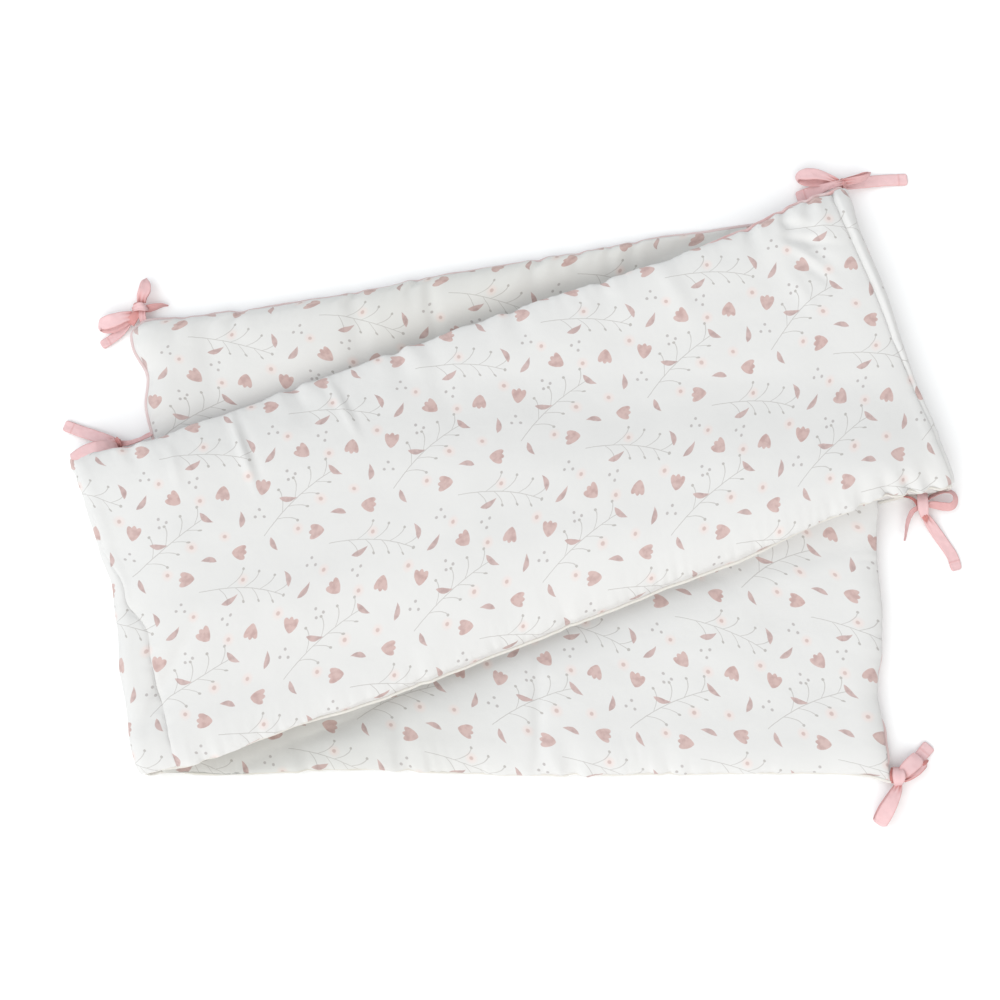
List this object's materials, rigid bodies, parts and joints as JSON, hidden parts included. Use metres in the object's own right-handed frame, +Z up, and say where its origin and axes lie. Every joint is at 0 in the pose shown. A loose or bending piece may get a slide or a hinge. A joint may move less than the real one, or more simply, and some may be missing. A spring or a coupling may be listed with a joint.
{
  "type": "padded crib bumper, folded in three",
  "caption": "Padded cotton crib bumper strip with piped edge and knotted tape ties, folded over on itself in three sections and lying flat.",
  "frame": {"origin": "middle of the bounding box on the floor under the folded bumper", "axes": "+X along the lower section from its fold to its free end, +Y from the lower section's long edge towards the bottom section, +Z up"},
  "size_m": [0.8108, 0.6028, 0.0556],
  "materials": {
    "printed_cotton": "matte off-white cotton with a small dusty rose floral print",
    "piping": "matte dusty pink woven piping",
    "tape": "matte pink twill tape"
  },
  "bodies": {
    "root": {"bumper": "printed_cotton", "piping": "piping", "tie_bottom_end": "tape", "tie_left_fold": "tape", "tie_right_fold_upper": "tape", "tie_right_fold_lower": "tape", "tie_lower_end": "tape"}
  },
  "joints": []
}
